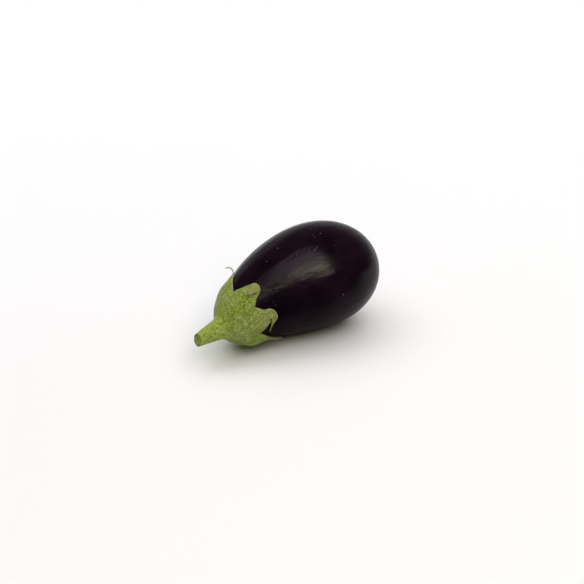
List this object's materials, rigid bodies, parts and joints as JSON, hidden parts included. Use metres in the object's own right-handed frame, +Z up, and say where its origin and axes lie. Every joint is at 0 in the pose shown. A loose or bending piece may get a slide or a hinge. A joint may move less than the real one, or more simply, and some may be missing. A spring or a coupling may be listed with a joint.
{
  "type": "eggplant",
  "caption": "Whole eggplant lying on its side: a glossy, near-black purple fruit with a green lobed calyx and a short cut stem.",
  "frame": {"origin": "Middle of the small flat spot that the fruit rests on, at table height.", "axes": "+Z points up from the table. +X runs along the fruit from its stem to its blossom end, seen from above. +Y is the side that faces away from the picture's camera."},
  "size_m": [0.1575, 0.0826, 0.0817],
  "materials": {
    "skin": "Smooth, waxy and glossy fruit skin, near black with a purple cast. Gloss plastic stands in for the look only.",
    "calyx": "Dull green, thick and leafy, with short grey down. Matte plastic stands in for the look only."
  },
  "bodies": {
    "root": {"fruit": "skin", "calyx_and_stem": "calyx"}
  },
  "joints": []
}
